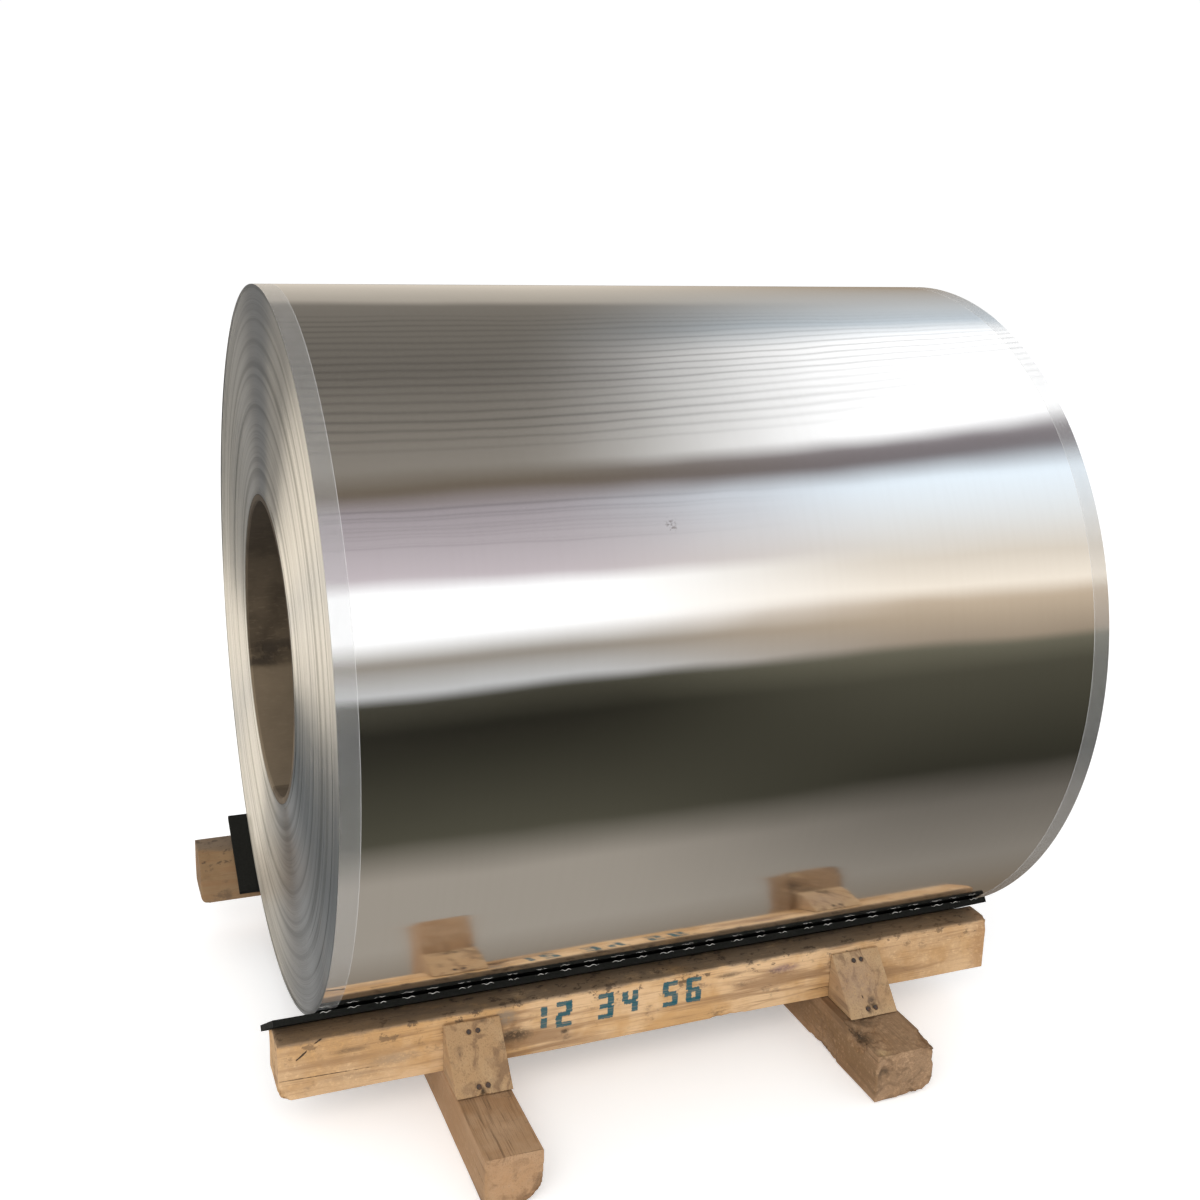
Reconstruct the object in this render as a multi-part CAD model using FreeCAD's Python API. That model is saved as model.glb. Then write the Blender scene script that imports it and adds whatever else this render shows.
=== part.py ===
import FreeCAD, Part
import math
import os

from FreeCAD import Vector

# A wide aluminium coil on a paperboard core, lying in a timber cradle.
# X runs along the coil's axis, -Y is the front and Z is up, in millimetres.
# The origin is the middle of the whole part's footprint, at the skids' undersides.

# The coil and its core
COIL_D = 1208.0
COIL_W = 1250.0
CORE_BORE_D = 500.0
CORE_WALL = 12.0
CORE_FIT = 0.3

# The clear film band round each edge of the coil
FILM_W = 30.0
FILM_T = 0.4

# The flat rubber belts that lie between the coil and the beams, a spare length longer than the coil
BELT_W = 176.0
BELT_SPARE = 45.0
BELT_T = 10.0
BELT_RISE = 68.0
BELT_PRESS = 0.5
BELT_X = {"front": -45.0, "rear": -13.0}

# The beams, also longer than the coil: each has its inner top edge sawn off, where the belt lies
BEAM_SPARE = 50.0
BEAM_W = 90.0
SEAT_ANGLE = math.radians(33.2)
SEAT_RUN = 38.0
SEAT_BACK = 4.0
BEAM_NOSE = 14.0
BEAM_X = {"front": -39.0, "rear": -78.0}

# The skids under the beams, each with one lower edge lost to the round of the log
SKID_L = 1200.0
SKID_H = 90.0
SKID_W = {"left": 95.0, "right": 114.0}
SKID_WANE = {"left": 42.0, "right": 28.0}
SKID_X = {"left": -380.0, "right": 323.0}
SKID_Y = {"left": -29.0, "right": 14.0}
COIL_CLEAR = 8.0

# The wedge blocks nailed outside the beams
BLOCK_W = 95.0
BLOCK_DEPTH = 84.0
BLOCK_TOP = 4.0
BLOCK_DROP = 15.0
BLOCK_SHIFT = {"left": 0.0, "right": 5.0}

# The nails, two near the top of each block and two near its foot
NAIL_R = 1.9
NAIL_L = 72.0
NAIL_HEAD_R = 4.0
NAIL_HEAD_T = 1.6
NAIL_SINK = 1.5
NAIL_FIT = 0.2
NAIL_EDGE = 16.0
NAIL_PITCH = 15.0

# What follows from them
coil_r = COIL_D / 2
core_r = CORE_BORE_D / 2 + CORE_WALL
film_r = coil_r + FILM_T
belt_l = COIL_W + BELT_SPARE
beam_l = COIL_W + BEAM_SPARE
axis_z = SKID_H + COIL_CLEAR + coil_r
seat_r = coil_r + BELT_T - BELT_PRESS
slope = Vector(0, math.cos(SEAT_ANGLE), math.sin(SEAT_ANGLE))
down = Vector(0, math.sin(SEAT_ANGLE), -math.cos(SEAT_ANGLE))
contact = Vector(0, 0, axis_z) + down * seat_r
seat_top = contact + slope * (SEAT_BACK / math.cos(SEAT_ANGLE))
seat_foot = seat_top - slope * (SEAT_RUN / math.cos(SEAT_ANGLE))
beam_in = seat_foot.y
beam_out = beam_in + BEAM_W
beam_top = seat_top.z
block_top = beam_top - BLOCK_DROP

ends_x = [COIL_W / 2, -COIL_W / 2]
ends_x += [x + end * beam_l / 2 for x in BEAM_X.values() for end in (-1, 1)]
ends_x += [x + end * belt_l / 2 for x in BELT_X.values() for end in (-1, 1)]
ends_y = [film_r, -film_r]
ends_y += [y + end * SKID_L / 2 for y in SKID_Y.values() for end in (-1, 1)]
origin = Vector((max(ends_x) + min(ends_x)) / 2, (max(ends_y) + min(ends_y)) / 2, 0)


def ring(outer_r, inner_r, x_low, length):
    """A round wall about the coil's axis, from x_low on."""
    start = Vector(x_low, 0, axis_z)
    along = Vector(1, 0, 0)
    return Part.makeCylinder(outer_r, length, start, along).cut(Part.makeCylinder(inner_r, length, start, along))


def prism(profile, x_mid, length):
    """A straight bar along X whose end is the outline of the given points."""
    corners = [Vector(x_mid - length / 2, point.y, point.z) for point in profile]
    face = Part.Face(Part.makePolygon(corners + corners[:1]))
    return face.extrude(Vector(length, 0, 0))


def facing(shape, side):
    """Pieces are drawn for the rear half and mirrored over to the front."""
    if side == "rear":
        return shape
    return shape.mirror(Vector(0, 0, 0), Vector(0, 1, 0))


def rounded(shape, radius, on_edge):
    """The shape with the edge whose middle on_edge picks turned to a radius."""
    edges = [edge for edge in shape.Edges if on_edge(edge.CenterOfMass)]
    return shape.makeFillet(radius, edges)


def make_coil():
    return ring(coil_r, core_r, -COIL_W / 2, COIL_W)


def make_core():
    return ring(core_r - CORE_FIT, CORE_BORE_D / 2, -COIL_W / 2, COIL_W)


def make_film(end):
    x_low = -COIL_W / 2 if end == "left" else COIL_W / 2 - FILM_W
    return ring(film_r, coil_r, x_low, FILM_W)


def make_belt(side):
    """A flat strip on the sawn seat, pressed in where the coil and its films bear on it."""
    high = contact + slope * BELT_RISE
    low = high - slope * BELT_W
    profile = [high, low, low - down * BELT_T, high - down * BELT_T]
    belt = facing(prism(profile, BELT_X[side], belt_l), side)
    along = Vector(1, 0, 0)
    belt = belt.cut(Part.makeCylinder(coil_r, COIL_W, Vector(-COIL_W / 2, 0, axis_z), along))
    for x_low in (-COIL_W / 2, COIL_W / 2 - FILM_W):
        belt = belt.cut(Part.makeCylinder(film_r, FILM_W, Vector(x_low, 0, axis_z), along))
    return belt


def make_beam(side):
    """A square timber with its inner top edge sawn off to carry the belt."""
    profile = [
        Vector(0, beam_in, SKID_H),
        Vector(0, beam_out, SKID_H),
        Vector(0, beam_out, beam_top),
        seat_top,
        seat_foot,
    ]
    beam = facing(prism(profile, BEAM_X[side], beam_l), side)
    left_end = BEAM_X[side] - beam_l / 2
    beam = rounded(beam, BEAM_NOSE, lambda mid: abs(mid.x - left_end) < 1 and abs(mid.z - SKID_H) < 1)
    return drill(beam, [nails[side, end] for end in SKID_X])


def make_skid(end):
    """A timber across the cradle, its lower right edge rounded by the log."""
    width = SKID_W[end]
    start = Vector(SKID_X[end] - width / 2, SKID_Y[end] - SKID_L / 2, 0)
    skid = Part.makeBox(width, SKID_L, SKID_H, start)
    right_face = start.x + width
    skid = rounded(skid, SKID_WANE[end], lambda mid: abs(mid.x - right_face) < 1 and abs(mid.z) < 1)
    return drill(skid, [nails[side, end] for side in BEAM_X])


block_high = Vector(0, beam_out + BLOCK_TOP, block_top)
block_low = Vector(0, beam_out + BLOCK_DEPTH, SKID_H)
block_x = {end: SKID_X[end] + BLOCK_SHIFT[end] for end in SKID_X}


def make_block(side, end):
    """A sawn wedge: its back on the beam, its foot on the skid, its face sloping out."""
    profile = [Vector(0, beam_out, SKID_H), block_low, block_high, Vector(0, beam_out, block_top)]
    block = facing(prism(profile, block_x[end], BLOCK_W), side)
    return drill(block, [nails[side, end]])


def make_nails(side, end, grow=0.0):
    """Four nails square to the block's sloping face, their heads set just below it.

    Grown by a clearance, and with the pit over each head, they are the holes' shape.
    """
    face_way = (block_low - block_high).normalize()
    into = Vector(0, face_way.z, -face_way.y)
    nail_set = []
    for place in (block_high + face_way * NAIL_EDGE, block_low - face_way * NAIL_EDGE):
        for step in (-NAIL_PITCH / 2, NAIL_PITCH / 2):
            head = place + Vector(block_x[end] + step, 0, 0) + into * (NAIL_SINK - grow)
            nail = Part.makeCylinder(NAIL_HEAD_R + grow, NAIL_HEAD_T + 2 * grow, head, into)
            nail = nail.fuse(Part.makeCylinder(NAIL_R + grow, NAIL_L + 2 * grow, head, into))
            if grow:
                pit = Part.makeCylinder(NAIL_HEAD_R + grow, 2 * NAIL_SINK, head - into * 2 * NAIL_SINK, into)
                nail = nail.fuse(pit)
            nail_set.append(facing(nail.removeSplitter(), side))
    return Part.makeCompound(nail_set)


def drill(timber, tools):
    """The timber with the holes that its nails were driven into."""
    for tool in tools:
        timber = timber.cut(tool)
    return timber


def save(shape, node):
    """Writes one node, moved so that the part's origin is at zero."""
    placed = shape.copy()
    placed.translate(-origin)
    placed.exportStep(os.path.join("parts", node + ".step"))
    print(node, len(placed.Solids), "solids", round(placed.Volume / 1000), "cm3", "valid", placed.isValid())


os.makedirs("parts", exist_ok=True)
nails = {(side, end): make_nails(side, end, NAIL_FIT) for side in BEAM_X for end in SKID_X}

save(make_coil(), "coil")
save(make_core(), "core")
for end in SKID_X:
    save(make_film(end), "film_" + end)
    save(make_skid(end), "skid_" + end)
for side in BEAM_X:
    save(make_beam(side), "beam_" + side)
    save(make_belt(side), "belt_" + side)
    for end in SKID_X:
        save(make_block(side, end), "block_" + side + "_" + end)
        save(make_nails(side, end), "nails_" + side + "_" + end)
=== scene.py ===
import math
import random

import bpy
import numpy as np
from mathutils import Matrix, Vector, noise


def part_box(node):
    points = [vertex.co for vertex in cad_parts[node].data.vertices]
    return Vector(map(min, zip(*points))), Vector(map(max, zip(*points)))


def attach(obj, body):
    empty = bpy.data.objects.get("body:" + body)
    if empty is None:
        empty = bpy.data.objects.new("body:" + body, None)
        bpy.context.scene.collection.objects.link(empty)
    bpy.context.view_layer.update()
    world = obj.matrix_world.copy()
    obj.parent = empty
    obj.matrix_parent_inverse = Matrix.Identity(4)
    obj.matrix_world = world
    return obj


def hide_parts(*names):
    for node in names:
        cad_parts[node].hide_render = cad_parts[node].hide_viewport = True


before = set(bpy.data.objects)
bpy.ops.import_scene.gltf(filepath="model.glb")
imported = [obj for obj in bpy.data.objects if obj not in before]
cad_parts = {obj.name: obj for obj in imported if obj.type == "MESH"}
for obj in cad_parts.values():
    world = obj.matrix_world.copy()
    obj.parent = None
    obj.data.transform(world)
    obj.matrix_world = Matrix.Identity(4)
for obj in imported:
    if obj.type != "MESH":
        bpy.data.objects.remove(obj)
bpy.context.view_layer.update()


# ---------------------------------------------------------------- the coil
# Aluminium strip rolled bright and wound tight on itself, so its outside is one mirror-like
# skin with fine lines running round it, and its ends show the edges of all the turns.
# The turns lie a little in and out of line, as they came off the winder.

coil_low, coil_high = (Vector(corner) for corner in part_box("coil"))
axis_point = (coil_low + coil_high) / 2
coil_radius = 0.604
core_radius = 0.262
coil_half = (coil_high.x - coil_low.x) / 2
bright_aluminium = (0.90, 0.905, 0.91)
edge_aluminium = (0.68, 0.68, 0.66)


class Wire:
    """A shader node's output that takes part in sums."""

    def __init__(self, maker, socket):
        self.maker = maker
        self.socket = socket

    def sum(self, operation, first, second):
        return self.maker.node("ShaderNodeMath", {"operation": operation}, {0: first, 1: second})

    def __add__(self, other):
        return self.sum("ADD", self, other)

    def __radd__(self, other):
        return self.sum("ADD", other, self)

    def __sub__(self, other):
        return self.sum("SUBTRACT", self, other)

    def __rsub__(self, other):
        return self.sum("SUBTRACT", other, self)

    def __mul__(self, other):
        return self.sum("MULTIPLY", self, other)

    def __rmul__(self, other):
        return self.sum("MULTIPLY", other, self)

    def __truediv__(self, other):
        return self.sum("DIVIDE", self, other)

    def __pow__(self, other):
        return self.sum("POWER", self, other)

    def rise(self, low, high):
        """0 below low, 1 above high and smooth between; falling where low is the larger."""
        settings = {"interpolation_type": "SMOOTHSTEP"}
        values = {"Value": self, "From Min": low, "From Max": high}
        return self.maker.node("ShaderNodeMapRange", settings, values)


class Finish:
    """A material or a sky made of nodes, each added by one call."""

    def __init__(self, owner):
        owner.use_nodes = True
        self.owner = owner
        self.tree = owner.node_tree
        self.tree.nodes.clear()

    def node(self, kind, settings=None, values=None, out=0):
        made = self.tree.nodes.new(kind)
        for name, value in (settings or {}).items():
            if name == "stops":
                self.set_stops(made.color_ramp, value)
            else:
                setattr(made, name, value)
        for name, value in (values or {}).items():
            if isinstance(value, Wire):
                self.tree.links.new(value.socket, made.inputs[name])
            elif isinstance(value, tuple) and len(value) == 3 and made.inputs[name].type == "RGBA":
                made.inputs[name].default_value = value + (1.0,)
            else:
                made.inputs[name].default_value = value
        return Wire(self, made.outputs[out])

    def set_stops(self, ramp, stops):
        while len(ramp.elements) < len(stops):
            ramp.elements.new(1.0)
        for element, (place, colour) in zip(ramp.elements, stops):
            element.position = place
            element.color = colour + (1.0,)

    def place(self):
        return self.node("ShaderNodeTexCoord", out="Object")

    def vector(self, operation, first, second=None, out=0):
        values = {0: first} if second is None else {0: first, 1: second}
        return self.node("ShaderNodeVectorMath", {"operation": operation}, values, out)

    def parts(self, vector):
        split = self.node("ShaderNodeSeparateXYZ", values={0: vector}).socket.node
        return [Wire(self, socket) for socket in split.outputs]

    def noise(self, where, scale, stretch=(1.0, 1.0, 1.0), detail=3.0, rough=0.55, warp=0.0):
        where = self.vector("MULTIPLY", where, stretch)
        values = {"Vector": where, "Scale": scale, "Detail": detail, "Roughness": rough, "Distortion": warp}
        return self.node("ShaderNodeTexNoise", values=values)

    def noise_along(self, value, scale, detail=2.0):
        settings = {"noise_dimensions": "1D"}
        return self.node("ShaderNodeTexNoise", settings, {"W": value, "Scale": scale, "Detail": detail})

    def mix(self, first, second, share, how="MIX"):
        settings = {"data_type": "RGBA", "blend_type": how}
        return self.node("ShaderNodeMix", settings, {0: share, 6: first, 7: second}, out=2)

    def near(self, where, spot, size, ragged=0.35):
        """1 inside a ragged spot of that size along x, y and z, and 0 outside it."""
        away = self.vector("DIVIDE", self.vector("SUBTRACT", where, spot), size)
        away = self.vector("LENGTH", away, out="Value")
        grit = self.noise(where, 110.0, detail=7.0, rough=0.7)
        away = away + (grit - 0.5) * (ragged * 4.5)
        return away.rise(1.15, 0.35) * grit.rise(0.30, 0.55)

    def stroke(self, where, start, end, width, ragged=0.5):
        """1 on a thin line from start to end, and 0 away from it."""
        run = Vector(end) - Vector(start)
        offset = self.vector("SUBTRACT", where, start)
        share = self.vector("DOT_PRODUCT", offset, tuple(run / run.length_squared), out="Value")
        share = self.node("ShaderNodeClamp", values={0: share})
        nearest = self.node("ShaderNodeVectorMath", {"operation": "SCALE"}, {0: tuple(run), "Scale": share})
        away = self.vector("DISTANCE", offset, nearest, out="Value") / width
        away = away + (self.noise(where, 160.0, detail=3.0) - 0.5) * (ragged * 2.0)
        return away.rise(1.0, 0.5)

    def figure(self, where, low, high):
        """1 inside a small painted box on a face that looks to the front, with soft ragged edges."""
        x, y, z = self.parts(where)
        fray = (self.noise(where, 240.0, detail=3.0) - 0.5) * 0.005
        x = x + fray
        z = z + fray
        soft = 0.0007
        span = x.rise(low[0] - soft, low[0] + soft) * x.rise(high[0] + soft, high[0] - soft)
        reach = z.rise(low[1] - soft, low[1] + soft) * z.rise(high[1] + soft, high[1] - soft)
        return span * reach * y.rise(-0.375, -0.378)

    def bump(self, height, depth):
        return self.node("ShaderNodeBump", values={"Height": height, "Distance": depth, "Strength": 1.0})

    def skin(self, **values):
        named = {name.replace("_", " "): value for name, value in values.items()}
        return self.node("ShaderNodeBsdfPrincipled", values=named)

    def finish(self, shader, kind="ShaderNodeOutputMaterial"):
        output = self.tree.nodes.new(kind)
        self.tree.links.new(shader.socket, output.inputs["Surface"])
        return self.owner


def new_piece(name, points, faces, slot, *finishes, smooth_angle=30.0):
    """A mesh object that rides on the part's one body."""
    mesh = bpy.data.meshes.new(name)
    mesh.from_pydata(points, [], faces)
    mesh.validate()
    mesh.shade_smooth()
    mesh.set_sharp_from_angle(angle=math.radians(smooth_angle))
    for finish in finishes:
        mesh.materials.append(finish)
    piece = bpy.data.objects.new(name, mesh)
    bpy.context.scene.collection.objects.link(piece)
    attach(piece, "root")
    return piece


def turned(outline, steps):
    """Points and faces of a closed outline of (x, radius) turned round the coil's axis."""
    angles = np.linspace(0.0, 2.0 * math.pi, steps, endpoint=False)
    xs = np.array([x for x, _ in outline])
    radii = np.array([radius for _, radius in outline])
    points = np.empty((steps, len(outline), 3))
    points[:, :, 0] = axis_point.x + xs
    points[:, :, 1] = axis_point.y + np.outer(np.sin(angles), radii)
    points[:, :, 2] = axis_point.z + np.outer(np.cos(angles), radii)
    count = len(outline)
    faces = []
    for turn in range(steps):
        here = turn * count
        there = (turn + 1) % steps * count
        for k in range(count):
            after = (k + 1) % count
            faces.append((here + k, here + after, there + after, there + k))
    return points.reshape(-1, 3).tolist(), faces


def end_outline(draw, outer, inner, rings):
    """How far each turn's edge stands in from the end, from the outside inward."""
    widths = [draw.uniform(0.4, 2.0) for _ in range(rings)]
    scale = (outer - inner) / sum(widths)
    radius = outer
    drift = 0.0
    outline = []
    for k, width in enumerate(widths):
        drift = 0.8 * drift + draw.uniform(0.0, 0.0005)
        lean = 0.0006 * (1 + math.sin(k * 0.19))
        inset = min(drift + lean, 0.003) if 0 < k < rings - 1 else 0.0004
        outline.append((inset, radius))
        radius -= width * scale
        outline.append((inset, radius))
    return outline


rings_drawn = random.Random(7)
turns_shown = 58
left_insets = end_outline(rings_drawn, coil_radius, core_radius, turns_shown)
right_insets = end_outline(rings_drawn, coil_radius, core_radius, turns_shown)
left_end = [(inset - coil_half, radius) for inset, radius in left_insets]
right_end = [(coil_half - inset, radius) for inset, radius in right_insets]
coil_points, coil_faces = turned(left_end[::-1] + right_end, 288)

aluminium = Finish(bpy.data.materials.new("bright_rolled_aluminium"))
where = aluminium.place()
across, _, _ = aluminium.parts(where)
streaks = aluminium.noise_along(across, 90.0, detail=3.0)
haze = aluminium.noise(where, 3.0, detail=2.0)
swell = aluminium.noise(where, 2.2, (0.8, 1.6, 1.6), detail=1.0)
ripple = aluminium.noise(where, 7.0, (0.8, 1.6, 1.6), detail=1.0)
relief = aluminium.bump(swell + 0.13 * ripple, 0.0028)
colour = aluminium.mix((0.894, 0.898, 0.902), bright_aluminium, streaks.rise(0.3, 0.6))
scuffs = aluminium.near(where, (-0.076, -0.515, 1.005), (0.010, 0.012, 0.012), ragged=0.8)
colour = aluminium.mix(colour, (0.42, 0.40, 0.38), scuffs * aluminium.noise(where, 260.0).rise(0.48, 0.6))
tangent = aluminium.node("ShaderNodeTangent", {"direction_type": "RADIAL", "axis": "X"})
shine = aluminium.skin(
    Base_Color=colour, Metallic=1.0, Roughness=0.072 + 0.02 * haze, Anisotropic=1.0,
    Anisotropic_Rotation=0.25, Tangent=tangent, Normal=relief)
coil_skin = aluminium.finish(shine)

edges = Finish(bpy.data.materials.new("aluminium_strip_edges"))
where = edges.place()
from_axis = edges.vector("SUBTRACT", where, (0.0, axis_point.y, axis_point.z))
_, side_way, up_way = edges.parts(from_axis)
radius = (side_way * side_way + up_way * up_way) ** 0.5
wobble = edges.noise(where, 1.6, (0.0, 1.0, 1.0), detail=1.0) * 0.006
fine = edges.noise_along(radius + wobble, 900.0, detail=4.0)
coarse = edges.noise_along(radius + wobble, 55.0, detail=3.0)
colour = edges.mix((0.40, 0.40, 0.38), edge_aluminium, coarse.rise(0.30, 0.58))
colour = edges.mix(colour, (0.90, 0.90, 0.89), fine.rise(0.55, 0.8) * 0.6)
colour = edges.mix(colour, (0.34, 0.34, 0.32), fine.rise(0.42, 0.30) * 0.5)
tangent = edges.node("ShaderNodeTangent", {"direction_type": "RADIAL", "axis": "X"})
relief = edges.bump(fine + 0.6 * coarse, 0.0006)
shine = edges.skin(
    Base_Color=colour, Metallic=1.0, Roughness=0.30 + 0.06 * coarse, Anisotropic=1.0,
    Anisotropic_Rotation=0.25, Tangent=tangent, Normal=relief)
coil_edges = edges.finish(shine)

coil = new_piece("coil_winding", coil_points, coil_faces, "aluminium_sheet", coil_skin, coil_edges)
for face in coil.data.polygons:
    face.material_index = 0 if abs(face.normal.x) < 0.3 and face.area > 0.001 else 1
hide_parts("coil")


# ---------------------------------------------------------------- the core
# A wound paperboard tube, brown and matt, with its spiral seams showing inside
# and its bore torn where an end of the paper came loose.

core_half = coil_half - 0.0005
core_bore = 0.250
core_outer = 0.2615
core_outline = [
    (-core_half, core_outer), (-core_half - 0.0004, core_outer - 0.004), (-core_half, core_bore + 0.002),
    (-core_half + 0.003, core_bore), (core_half - 0.003, core_bore), (core_half, core_bore + 0.002),
    (core_half, core_outer)]
core_points, core_faces = turned(core_outline[::-1], 160)
paper = Finish(bpy.data.materials.new("wound_paperboard"))
where = paper.place()
from_axis = paper.vector("SUBTRACT", where, (0.0, axis_point.y, axis_point.z))
along, side_way, up_way = paper.parts(from_axis)
turn_angle = paper.node("ShaderNodeMath", {"operation": "ARCTAN2"}, {0: side_way, 1: up_way})
spiral = paper.node("ShaderNodeMath", {"operation": "FRACT"}, {0: along * 5.0 + turn_angle * 0.159})
seam = spiral.rise(0.03, 0.0)
mottle = paper.noise(where, 14.0, detail=5.0)
fibre = paper.noise(where, 220.0, (0.3, 1.0, 1.0), detail=4.0)
# The board's browns are set darker than the board itself: painted shade for the inside of the bore.
colour = paper.mix((0.060, 0.043, 0.026), (0.125, 0.092, 0.058), mottle.rise(0.3, 0.7))
colour = paper.mix(colour, (0.17, 0.128, 0.083), fibre.rise(0.5, 0.75) * 0.5)
colour = paper.mix(colour, (0.05, 0.036, 0.024), seam * 0.7)
lap_turn = turn_angle + (paper.noise(where, 12.0, detail=5.0) - 0.5) * 0.10
ragged = paper.noise(where, 26.0, detail=6.0).rise(0.44, 0.56)
torn = lap_turn.rise(1.78, 1.84) * lap_turn.rise(2.02, 1.96) * ragged
colour = paper.mix(colour, (0.03, 0.022, 0.015), torn * along.rise(0.1, -0.2) * 0.7)
colour = paper.mix(colour, (0.24, 0.182, 0.118), lap_turn.rise(1.98, 2.04) * 0.55)
# Painted shade: the bore goes darker towards its top.
colour = paper.mix(colour, (0.020, 0.014, 0.008), up_way.rise(-0.10, 0.16) * 0.62)
relief = paper.bump(fibre * 0.3 + mottle - seam - torn, 0.001)
core_skin = paper.finish(paper.skin(Base_Color=colour, Roughness=0.9, Normal=relief))
core = new_piece("core_tube", core_points, core_faces, "core_board", core_skin)
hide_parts("core")


# ---------------------------------------------------------------- the edge films
# A clear band stuck round each edge of the coil, milky where the light catches it,
# with its end lapped over its start low down at the front.

film_width = 0.030
film_lift = 0.0003
clear = Finish(bpy.data.materials.new("clear_edge_film"))
where = clear.place()
cloud = clear.noise(where, 40.0, detail=3.0)
across, _, _ = clear.parts(where)
inner_edge = film_width - 0.0012
from_end = coil_half - clear.node("ShaderNodeMath", {"operation": "ABSOLUTE"}, {0: across - axis_point.x})
rim = from_end.rise(inner_edge, film_width)
lap = clear.stroke(where, (-0.580, -0.4566, 0.315), (-0.548, -0.4535, 0.311), 0.0020, ragged=0.2)
colour = clear.mix((0.56, 0.57, 0.58), (0.92, 0.92, 0.92), rim)
colour = clear.mix(colour, (0.02, 0.02, 0.02), lap)
film_skin = clear.finish(clear.skin(
    Base_Color=colour, Roughness=0.35, Alpha=0.055 + 0.03 * cloud + 0.17 * rim + 0.8 * lap,
    Normal=clear.bump(cloud, 0.0003)))
for end, sign in (("left", -1), ("right", 1)):
    outside = sign * coil_half
    inside = sign * (coil_half - film_width)
    outline = [(outside, coil_radius + film_lift), (inside, coil_radius + film_lift),
               (inside, coil_radius + 0.00005), (outside, coil_radius + 0.00005)]
    points, faces = turned(outline[::-sign], 288)
    film = new_piece("edge_film_" + end, points, faces, "edge_film", film_skin)
    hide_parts("film_" + end)


# ---------------------------------------------------------------- the belts
# Flat strips cut from old conveyor belt: black rubber on both faces, with the white
# threads of the fabric inside it showing in loops along the cut edges.

rubber = Finish(bpy.data.materials.new("belt_rubber"))
where = rubber.place()
dust = rubber.noise(where, 16.0, (0.4, 1.0, 1.0), detail=5.0)
pebble = rubber.noise(where, 420.0, detail=2.0)
colour = rubber.mix((0.003, 0.0035, 0.003), (0.008, 0.009, 0.008), pebble.rise(0.35, 0.7))
colour = rubber.mix(colour, (0.035, 0.033, 0.028), dust.rise(0.58, 0.8) * 0.4)
belt_skin = rubber.finish(rubber.skin(
    Base_Color=colour, Roughness=0.74 + 0.2 * dust, Specular_IOR_Level=0.25,
    Normal=rubber.bump(pebble + dust, 0.0006)))
for side in ("front", "rear"):
    bpy.data.objects["belt_" + side].data.materials.clear()
    bpy.data.objects["belt_" + side].data.materials.append(belt_skin)

thread = Finish(bpy.data.materials.new("white_belt_thread"))
where = thread.place()
twist = thread.noise(where, 900.0, (0.6, 1.0, 1.0), detail=2.0)
colour = thread.mix((0.45, 0.44, 0.41), (0.82, 0.81, 0.77), twist.rise(0.35, 0.6))
relief = thread.bump(twist, 0.0004)
thread_skin = thread.finish(thread.skin(Base_Color=colour, Roughness=0.9, Normal=relief))
threads_drawn = random.Random(21)


def belt_threads(name, first, last, start, edge_y, edge_z, out_y):
    """Loops of thread standing just proud of a belt's cut edge, one after another along it."""
    points = []
    faces = []
    x = first + start
    while x < last - 0.03:
        length = threads_drawn.uniform(0.018, 0.027)
        phase = threads_drawn.uniform(0.0, 6.0)
        lift = threads_drawn.uniform(-0.0004, 0.0004)
        base = len(points)
        for k in range(13):
            share = k / 12
            wave = 0.0015 * math.sin(phase + 11.0 * share) + lift
            thin = 0.0005 * math.sqrt(max(0.05, math.sin(math.pi * share)))
            for corner in range(5):
                turn = 2 * math.pi * corner / 5
                rise_z = edge_z + 0.84 * wave + thin * math.sin(turn)
                proud_y = edge_y + out_y * (0.0003 + thin * math.cos(turn))
                points.append((x + share * length, proud_y, rise_z))
        for k in range(12):
            for corner in range(5):
                here = base + 5 * k + corner
                beside = base + 5 * k + (corner + 1) % 5
                faces.append((here, beside, beside + 5, here + 5))
        faces.append(tuple(base + corner for corner in range(4, -1, -1)))
        faces.append(tuple(base + 60 + corner for corner in range(5)))
        x += threads_drawn.uniform(0.040, 0.048)
    return new_piece(name, points, faces, None, thread_skin)


for side, way in (("front", -1), ("rear", 1)):
    belt_low, belt_high = (Vector(corner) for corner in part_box("belt_" + side))
    edge_y = (belt_low.y if way < 0 else belt_high.y) - way * 0.0050
    edge_z = belt_high.z - 0.0008
    belt_threads("belt_threads_" + side, belt_low.x, belt_high.x, 0.07, edge_y, edge_z, way)


# ---------------------------------------------------------------- the timbers
# Rough-sawn timber: two beams along the coil, two skids across and four wedge blocks.
# Their arrises are rubbed round, their faces are furred by the saw and their grain shows.

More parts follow.
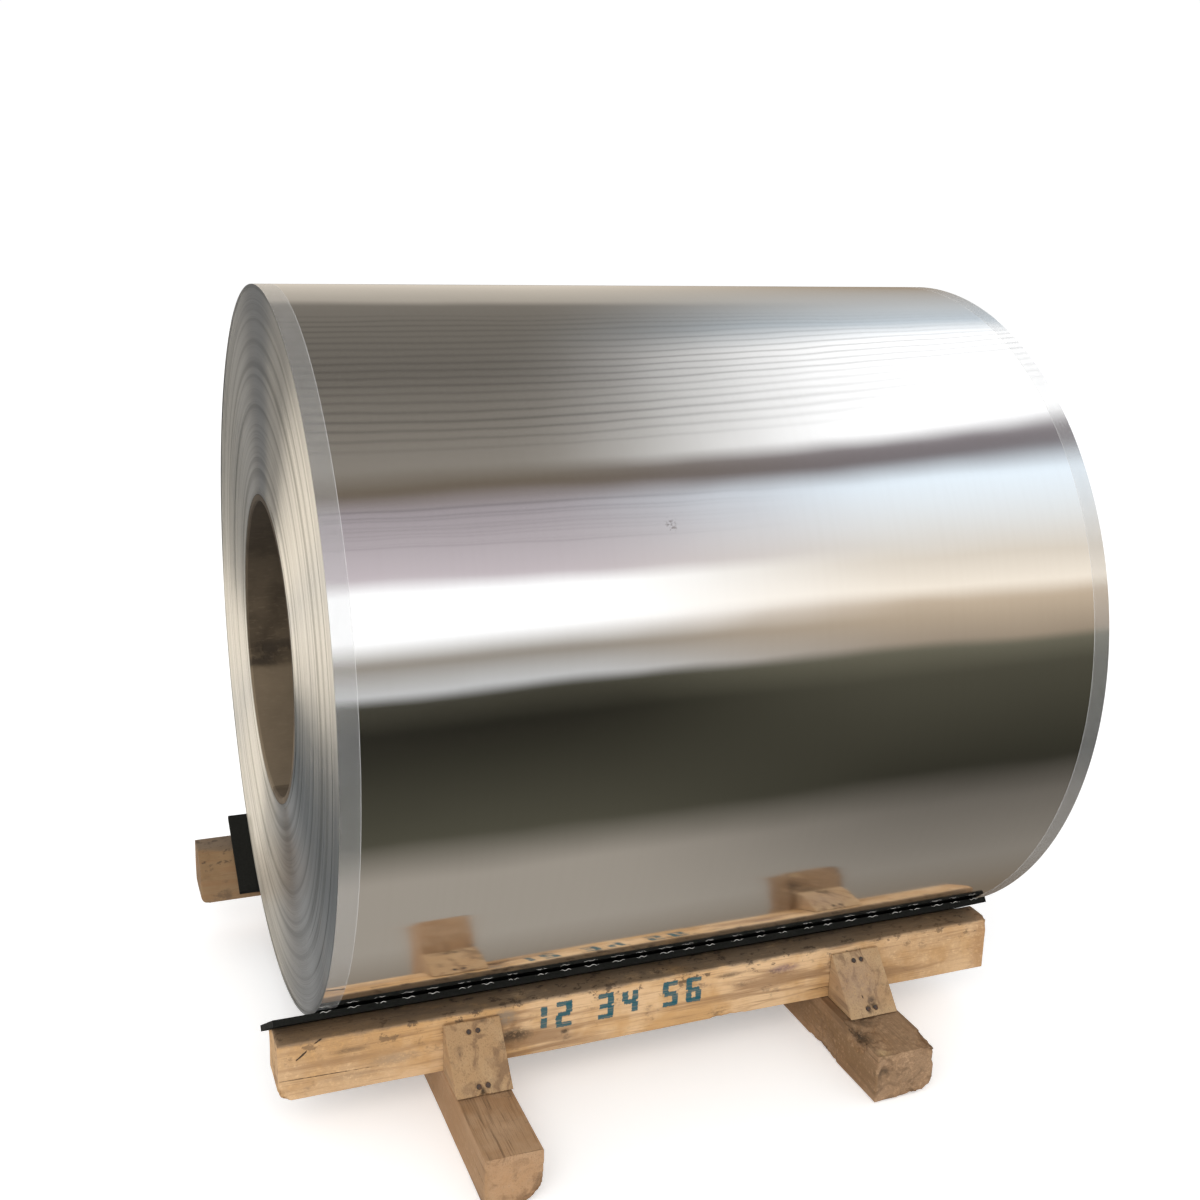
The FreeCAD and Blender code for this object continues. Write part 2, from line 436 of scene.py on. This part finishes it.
def weathered(name, voxel, skin, wear=0.0012, grain_way=0, pits=()):
    """The CAD timber remade as a fine mesh whose faces and arrises are uneven."""
    source = bpy.data.objects[name]
    copy = bpy.data.objects.new(name + "_remade", source.data.copy())
    bpy.context.scene.collection.objects.link(copy)
    remesh = copy.modifiers.new("even", "REMESH")
    remesh.mode = "VOXEL"
    remesh.voxel_size = voxel
    remesh.use_smooth_shade = True
    graph = bpy.context.evaluated_depsgraph_get()
    made = bpy.data.meshes.new_from_object(copy.evaluated_get(graph))
    bpy.data.objects.remove(copy)
    count = len(made.vertices)
    flat = np.empty(count * 3)
    made.vertices.foreach_get("co", flat)
    normals = np.empty(count * 3)
    made.vertex_normals.foreach_get("vector", normals)
    points = flat.reshape(-1, 3)
    normals = normals.reshape(-1, 3)
    stretch = [24.0, 24.0, 24.0]
    stretch[grain_way] = 2.5
    stretch = Vector(stretch)
    moved = np.empty(count)
    for k, point in enumerate(points):
        spot = Vector(point)
        long_way = noise.noise(Vector(a * b for a, b in zip(spot, stretch)))
        broad = noise.noise(spot * 7.0)
        moved[k] = min(max(wear * (1.0 + 0.6 * long_way + 0.9 * broad), 0.0), 3 * wear)
        for centre, radius, depth in pits:
            away = (spot - Vector(centre)).length / radius + 0.35 * noise.noise(spot * 90.0)
            if away < 1.0:
                moved[k] += depth * (1.0 - away) ** 0.5 * (0.8 + 0.6 * noise.noise(spot * 160.0))
    points -= normals * moved[:, None]
    made.vertices.foreach_set("co", points.reshape(-1))
    made.materials.clear()
    made.materials.append(skin)
    made.shade_smooth()
    piece = bpy.data.objects.new(name + "_timber", made)
    bpy.context.scene.collection.objects.link(piece)
    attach(piece, "root")
    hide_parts(name)
    return piece


def timber_skin(name, light, warm, dark, grain_way, marks=(), cracks=(), top=None, figures=()):
    """Sawn timber with its grain along one way: growth bands, fibres, dirt, marks of its own with patches of
    painted shade among them, and a darker top face that is partly dirt and partly painted shade.
    """
    wood = Finish(bpy.data.materials.new(name))
    where = wood.place()
    long = [1.0, 1.0, 1.0]
    long[grain_way] = 0.09
    bands = wood.noise(where, 30.0, tuple(long), detail=3.0, warp=1.1)
    long[grain_way] = 0.03
    fibres = wood.noise(where, 420.0, tuple(long), detail=4.0)
    blotch = wood.noise(where, 8.0, detail=4.0, rough=0.65)
    dirt = wood.noise(where, 26.0, (0.6, 0.8, 1.0), detail=7.0, rough=0.75)
    colour = wood.mix(light, warm, blotch.rise(0.40, 0.62))
    colour = wood.mix(colour, dark, bands.rise(0.50, 0.66) * 0.72)
    colour = wood.mix(colour, dark, fibres.rise(0.50, 0.74) * 0.55)
    colour = wood.mix(colour, (0.07, 0.05, 0.035), dirt.rise(0.56, 0.70) * 0.55)
    # Above the given level the top face goes darker: partly dirt, partly painted shade.
    if top is not None:
        level, shade, share = top
        _, _, height = wood.parts(where)
        ragged = height + (dirt - 0.5) * 0.022
        colour = wood.mix(colour, shade, ragged.rise(level - 0.004, level + 0.003) * share)
        mould = wood.noise(where, 62.0, (0.7, 1.0, 1.0), detail=7.0, rough=0.7).rise(0.555, 0.62)
        mould = mould * height.rise(level - 0.050, level - 0.008)
        colour = wood.mix(colour, (0.055, 0.036, 0.024), mould * 0.75)
    relief = fibres + 0.5 * bands + 0.4 * dirt
    for low, high in figures:
        painted = wood.figure(where, low, high)
        colour = wood.mix(colour, (0.006, 0.085, 0.11), painted * fibres.rise(0.85, 0.5) * 0.95)
    for spot, size, shade, share in marks:
        colour = wood.mix(colour, shade, wood.near(where, spot, size) * share)
    for start, end, width in cracks:
        split = wood.stroke(where, start, end, width)
        colour = wood.mix(colour, (0.025, 0.016, 0.01), split * 0.9)
        relief = relief - split * 2.0
    relief = wood.bump(relief, 0.0014)
    return wood.finish(wood.skin(Base_Color=colour, Roughness=0.78 + 0.15 * fibres, Normal=relief))


bark = (0.05, 0.033, 0.02)
grey_stain = (0.26, 0.20, 0.14)
beam_light = (0.66, 0.44, 0.245)
beam_warm = (0.53, 0.31, 0.13)
beam_dark = (0.24, 0.13, 0.06)

# Plain counting figures are stencilled on the front beam in blue-green paint. Each stroke is
# a small box, with the gaps a stencil leaves between strokes.
figure_strokes = {
    "1": "bc", "2": "abged", "3": "abgcd", "4": "fgbc", "5": "afgcd", "6": "afgcde"}
stroke_boxes = {
    "a": ((0.04, 0.82), (0.96, 1.00)), "b": ((0.62, 0.54), (1.00, 0.92)),
    "c": ((0.62, 0.08), (1.00, 0.47)), "d": ((0.04, 0.00), (0.96, 0.18)),
    "e": ((0.00, 0.08), (0.38, 0.47)), "f": ((0.00, 0.54), (0.38, 0.92)),
    "g": ((0.12, 0.41), (0.88, 0.59))}
figure_boxes = []
figure_x = -0.232
figure_foot = 0.131
figure_width = 0.029
figure_height = 0.047
for figure in "12 34 56":
    if figure == " ":
        figure_x += 0.030
        continue
    for stroke in figure_strokes[figure]:
        (low_x, low_z), (high_x, high_z) = stroke_boxes[stroke]
        low_corner = (figure_x + figure_width * low_x, figure_foot + figure_height * low_z)
        high_corner = (figure_x + figure_width * high_x, figure_foot + figure_height * high_z)
        figure_boxes.append((low_corner, high_corner))
    figure_x += 0.044

front_marks = [
    ((-0.528, -0.384, 0.160), (0.034, 0.03, 0.006), bark, 0.75),
    ((-0.463, -0.384, 0.131), (0.050, 0.03, 0.012), grey_stain, 0.6),
    ((-0.530, -0.384, 0.115), (0.060, 0.03, 0.008), grey_stain, 0.4),
    ((-0.262, -0.384, 0.130), (0.040, 0.03, 0.016), bark, 0.85),
    ((-0.275, -0.384, 0.168), (0.026, 0.03, 0.020), grey_stain, 0.8),
    ((-0.172, -0.384, 0.122), (0.009, 0.03, 0.005), bark, 0.9),
    ((0.237, -0.384, 0.164), (0.036, 0.03, 0.010), (0.17, 0.10, 0.11), 0.7),
    ((0.130, -0.384, 0.170), (0.030, 0.03, 0.006), bark, 0.6),
    ((-0.560, -0.384, 0.140), (0.16, 0.20, 0.09), (0.36, 0.215, 0.105), 0.5),
    ((0.520, -0.384, 0.140), (0.16, 0.20, 0.09), (0.38, 0.225, 0.105), 0.5),
    ((0.655, -0.384, 0.140), (0.036, 0.20, 0.09), (0.33, 0.175, 0.075), 0.7)]
front_cracks = [
    ((-0.612, -0.384, 0.160), (-0.566, -0.384, 0.196), 0.0018),
    ((0.05, -0.384, 0.106), (0.40, -0.384, 0.113), 0.0007),
    ((-0.64, -0.384, 0.127), (-0.40, -0.384, 0.121), 0.0008)]
# The beams' top faces are painted darker: partly dirt, partly painted shade under the coil and the belts.
dirty_shaded_top = (0.187, (0.15, 0.11, 0.075), 0.8)
front_skin = timber_skin(
    "front_beam_wood", beam_light, beam_warm, beam_dark, 0, front_marks, front_cracks, dirty_shaded_top,
    figure_boxes)
rear_marks = [
    ((-0.681, 0.40, 0.150), (0.02, 0.05, 0.03), (0.30, 0.17, 0.08), 0.7),
    ((0.10, 0.399, 0.15), (0.05, 0.03, 0.012), grey_stain, 0.6)]
rear_cracks = [
    ((-0.682, 0.352, 0.178), (-0.682, 0.398, 0.150), 0.0014),
    ((-0.682, 0.375, 0.192), (-0.50, 0.372, 0.192), 0.0016),
    ((-0.30, 0.400, 0.140), (0.25, 0.400, 0.150), 0.0010)]
# The rear beam is the same timber as the front one; its light and warm tones are set darker as painted shade
# behind and under the coil.
rear_shaded_light = (0.26, 0.165, 0.085)
rear_shaded_warm = (0.21, 0.125, 0.058)
rear_shaded_skin = timber_skin(
    "rear_beam_wood_shaded", rear_shaded_light, rear_shaded_warm, beam_dark, 0, rear_marks, rear_cracks, dirty_shaded_top)

skid_marks_and_shade = [
    ((0.370, -0.500, 0.050), (0.12, 0.26, 0.10), (0.19, 0.115, 0.06), 0.65),
    ((0.325, -0.505, 0.090), (0.022, 0.030, 0.022), bark, 0.9),
    ((0.350, -0.470, 0.090), (0.020, 0.026, 0.010), bark, 0.6),
    ((0.333, -0.562, 0.088), (0.016, 0.014, 0.010), (0.55, 0.38, 0.20), 0.9),
    ((0.333, -0.579, 0.055), (0.013, 0.015, 0.008), bark, 0.95),
    # The next two entries paint the skids' side faces darker, the right one the most: painted shade under the
    # coil.
    ((-0.381, -0.45, 0.045), (0.012, 0.40, 0.05), (0.33, 0.19, 0.088), 0.85),
    ((0.312, -0.45, 0.045), (0.010, 0.30, 0.05), (0.19, 0.105, 0.042), 0.8),
    ((-0.333, -0.622, 0.045), (0.06, 0.02, 0.05), (0.42, 0.24, 0.115), 0.6)]
skid_cracks = [
    ((-0.381, -0.615, 0.046), (-0.381, -0.33, 0.062), 0.0010),
    ((-0.325, -0.60, 0.091), (-0.335, -0.48, 0.091), 0.0006),
    ((0.313, -0.53, 0.030), (0.313, -0.30, 0.052), 0.0012),
    ((0.345, -0.579, 0.020), (0.380, -0.579, 0.070), 0.0010)]
skid_skin = timber_skin(
    "skid_wood", (0.42, 0.265, 0.15), (0.36, 0.205, 0.10), (0.12, 0.066, 0.032), 1, skid_marks_and_shade, skid_cracks)
block_marks = [
    ((0.378, -0.447, 0.108), (0.010, 0.02, 0.012), bark, 0.9),
    ((0.368, -0.455, 0.098), (0.006, 0.02, 0.006), bark, 0.8),
    ((-0.336, -0.468, 0.096), (0.006, 0.02, 0.008), bark, 0.95),
    ((0.36, -0.44, 0.15), (0.06, 0.06, 0.06), (0.30, 0.20, 0.145), 0.5)]
block_cracks = [
    ((0.352, -0.415, 0.182), (0.366, -0.452, 0.094), 0.0011),
    ((-0.350, -0.41, 0.160), (-0.320, -0.45, 0.110), 0.0005)]
block_skin = timber_skin(
    "block_wood", (0.48, 0.325, 0.18), (0.42, 0.26, 0.13), (0.19, 0.11, 0.06), 1, block_marks, block_cracks)

front_pits = [
    ((-0.590, -0.386, 0.180), 0.016, 0.002), ((-0.262, -0.386, 0.130), 0.026, 0.005),
    ((-0.528, -0.386, 0.160), 0.020, 0.002), ((0.13, -0.386, 0.090), 0.03, 0.003),
    ((-0.645, -0.386, 0.092), 0.020, 0.006), ((0.655, -0.386, 0.190), 0.018, 0.005)]
skid_pits = {
    "left": [((-0.290, -0.622, 0.020), 0.040, 0.003), ((-0.335, -0.560, 0.092), 0.020, 0.002)],
    "right": [
        ((0.322, -0.505, 0.092), 0.036, 0.010), ((0.350, -0.465, 0.092), 0.030, 0.006),
        ((0.336, -0.560, 0.093), 0.022, 0.008),
        ((0.333, -0.580, 0.055), 0.016, 0.008), ((0.427, -0.560, 0.085), 0.035, 0.008),
        ((0.395, -0.580, 0.010), 0.035, 0.007), ((0.313, -0.400, 0.010), 0.05, 0.006)]}
block_pits = [((-0.336, -0.470, 0.092), 0.008, 0.006), ((0.378, -0.450, 0.105), 0.010, 0.004)]

weathered("beam_front", 0.003, front_skin, pits=front_pits)
weathered("beam_rear", 0.003, rear_shaded_skin)
for end in ("left", "right"):
    weathered("skid_" + end, 0.003, skid_skin, 0.0016, 1, skid_pits[end])
    for side in ("front", "rear"):
        weathered("block_" + side + "_" + end, 0.0016, block_skin, 0.0008, 1, block_pits)


# ---------------------------------------------------------------- the nails
# Wire nails driven through the blocks, their heads just under the face, dull and rusty.

nail = Finish(bpy.data.materials.new("rusty_nail_steel"))
where = nail.place()
rust = nail.noise(where, 300.0, detail=3.0)
colour = nail.mix((0.10, 0.09, 0.085), (0.12, 0.055, 0.03), rust.rise(0.4, 0.65))
nail_skin = nail.finish(nail.skin(
    Base_Color=colour, Metallic=0.8 - 0.6 * rust.rise(0.4, 0.65), Roughness=0.5 + 0.3 * rust,
    Normal=nail.bump(rust, 0.0004)))
for side in ("front", "rear"):
    for end in ("left", "right"):
        heads = bpy.data.objects["nails_" + side + "_" + end]
        heads.data.materials.clear()
        heads.data.materials.append(nail_skin)


# ---------------------------------------------------------------- the studio
# A pale floor under even white light. Reflections see another sky, of long soft bands that run
# the same way as the coil, and they miss the floor and the lamp.

def tone(level, tint):
    """A colour of a given brightness as it shows on a screen, made linear."""
    return tuple((level * share) ** 2.2 for share in tint)


neutral = (1.0, 1.0, 1.0)
warm = (1.0, 0.95, 0.88)
brown = (1.0, 0.90, 0.78)
mauve = (1.0, 0.945, 0.965)
olive = (1.0, 0.97, 0.83)
cool = (0.92, 0.965, 1.0)

# Each band is given by its height in degrees, from the front horizon up over the top and down
# behind, and below the horizon by minus degrees: how bright it is, and its tint.
left_bands = [
    (-120, 0.45, brown), (-90, 0.60, warm), (-60, 0.60, warm), (-45, 0.30, olive), (-10, 0.15, olive),
    (-1, 0.25, olive), (2, 0.75, neutral), (10, 0.55, warm), (18, 1.05, neutral), (30, 1.05, neutral),
    (35, 0.75, mauve), (55, 0.60, mauve), (62, 0.40, brown), (70, 0.50, warm), (105, 0.40, warm),
    (145, 0.45, warm), (150, 0.65, warm), (175, 0.80, warm)]
right_bands = [
    (-120, 0.45, brown), (-90, 0.50, warm), (-60, 0.40, warm), (-45, 0.20, olive), (-10, 0.30, olive),
    (-1, 0.40, olive), (2, 0.60, brown), (15, 0.75, brown), (20, 0.95, warm), (30, 0.85, warm),
    (55, 1.00, cool), (61, 0.45, mauve), (65, 0.50, mauve), (70, 1.10, neutral), (110, 1.10, neutral),
    (125, 0.85, cool), (175, 0.60, brown)]

# Tall lit windows off to the left give the coil's open end its radial gleams. They are bands
# by degrees round one point in the sky, as the gleams fan out from the coil's middle.
window_bands = [
    (0, 0.45, neutral), (10, 0.80, warm), (20, 0.35, neutral), (30, 1.15, warm), (55, 1.15, warm),
    (60, 0.80, neutral), (70, 1.20, warm), (85, 1.20, warm), (90, 0.40, cool), (120, 0.40, cool),
    (150, 0.60, neutral), (180, 0.40, neutral)]

sky = Finish(bpy.data.worlds.new("studio_sky"))
bpy.context.scene.world = sky.owner
way = sky.node("ShaderNodeTexCoord", out="Generated")
way_x, way_y, way_z = sky.parts(way)
degrees = 180 / math.pi
lift = sky.node("ShaderNodeMath", {"operation": "ARCTAN2"}, {0: way_z, 1: way_y * -1.0}) * degrees
turn = sky.node("ShaderNodeMath", {"operation": "ARCSINE"}, {0: way_x}) * degrees


def banded_sky(bands, scan, lowest, span):
    """Colour by height up the sky, blended from band to band."""
    stops = [((height - lowest) / span, tone(level, tint)) for height, level, tint in bands]
    return sky.node("ShaderNodeValToRGB", {"stops": stops}, {0: (scan - lowest) / span})


slant = (turn - 15.0) * (turn - 15.0) * 0.03 * turn.rise(14.9, 15.1)
slant = slant * lift.rise(40.0, 100.0) * lift.rise(150.0, 120.0)
lift = lift - slant
left_side = banded_sky(left_bands, lift, -125.0, 310.0)
right_side = banded_sky(right_bands, lift, -125.0, 310.0)
mirrored = sky.mix(left_side, right_side, turn.rise(18.0, 34.0))
roof = sky.node("ShaderNodeMath", {"operation": "SINE"}, {0: lift * (2 * math.pi / 3.4)})
uneven = sky.noise_along(lift, 0.45, detail=2.0)
roof_lines = roof.rise(0.45, 1.0) * lift.rise(72.0, 80.0) * lift.rise(142.0, 132.0) * (0.14 + 0.4 * uneven)
louvre_lines = sky.noise_along(lift, 1.3, detail=3.0).rise(0.52, 0.66)
louvre_lines = louvre_lines * lift.rise(41.0, 45.0) * lift.rise(60.0, 57.0)
mirrored = sky.mix(mirrored, (0.0, 0.0, 0.0), roof_lines + louvre_lines * 0.30 * turn.rise(30.0, 20.0))
fan = sky.node("ShaderNodeMath", {"operation": "ARCTAN2"}, {0: 0.944 - way_y, 1: way_z + 0.302}) * degrees
windows = banded_sky(window_bands, fan, 0.0, 180.0)
mirrored = sky.mix(mirrored, windows, way_x.rise(0.0, -0.08))
metal_ray = sky.node("ShaderNodeLightPath", out="Is Glossy Ray")
eye_ray = sky.node("ShaderNodeLightPath", out="Is Camera Ray")
soft = sky.node("ShaderNodeBackground", values={"Color": (1.0, 1.0, 1.0), "Strength": 0.92 + 0.1 * eye_ray})
banded = sky.node("ShaderNodeBackground", values={"Color": mirrored, "Strength": 1.12})
sky.finish(sky.node("ShaderNodeMixShader", values={0: metal_ray, 1: soft, 2: banded}), "ShaderNodeOutputWorld")

floor_half = 14.0
floor_mesh = bpy.data.meshes.new("studio_floor")
corners = [
    (-floor_half, -floor_half, 0), (floor_half, -floor_half, 0), (floor_half, floor_half, 0),
    (-floor_half, floor_half, 0)]
floor_mesh.from_pydata(corners, [], [(0, 1, 2, 3)])
floor = bpy.data.objects.new("studio_floor", floor_mesh)
bpy.context.scene.collection.objects.link(floor)
ground = Finish(bpy.data.materials.new("studio_floor"))
pale = ground.node("ShaderNodeBsdfDiffuse", values={"Color": (0.94, 0.94, 0.94)})
glow = ground.node("ShaderNodeEmission", values={"Color": (1.0, 1.0, 1.0), "Strength": 0.30})
ground.finish(ground.node("ShaderNodeAddShader", values={0: pale, 1: glow}))
floor.visible_glossy = False
floor_mesh.materials.append(ground.owner)

lamp_data = bpy.data.lights.new("soft_lamp", "AREA")
lamp_data.shape = "RECTANGLE"
lamp_data.size = 3.0
lamp_data.size_y = 2.0
lamp_data.energy = 60.0
lamp = bpy.data.objects.new("soft_lamp", lamp_data)
lamp.location = (-1.6, -3.4, 2.8)
lamp.rotation_euler = (Vector((0, 0, 0.3)) - lamp.location).to_track_quat("-Z", "Y").to_euler()
lamp.visible_glossy = False
bpy.context.scene.collection.objects.link(lamp)

eye = bpy.data.cameras.new("eye")
eye.lens = 43.13
eye.sensor_width = 36.0
eye.clip_end = 100.0
camera = bpy.data.objects.new("eye", eye)
look_turn = -0.3775
look_lift = -0.2744
look_roll = 0.0292
aim = Matrix.Rotation(look_turn, 4, "Z") @ Matrix.Rotation(math.pi / 2 + look_lift, 4, "X")
camera.matrix_world = Matrix.Translation((-0.911, -2.350, 1.457)) @ aim @ Matrix.Rotation(look_roll, 4, "Z")
bpy.context.scene.collection.objects.link(camera)
bpy.context.scene.camera = camera
bpy.context.scene.view_settings.view_transform = "Standard"
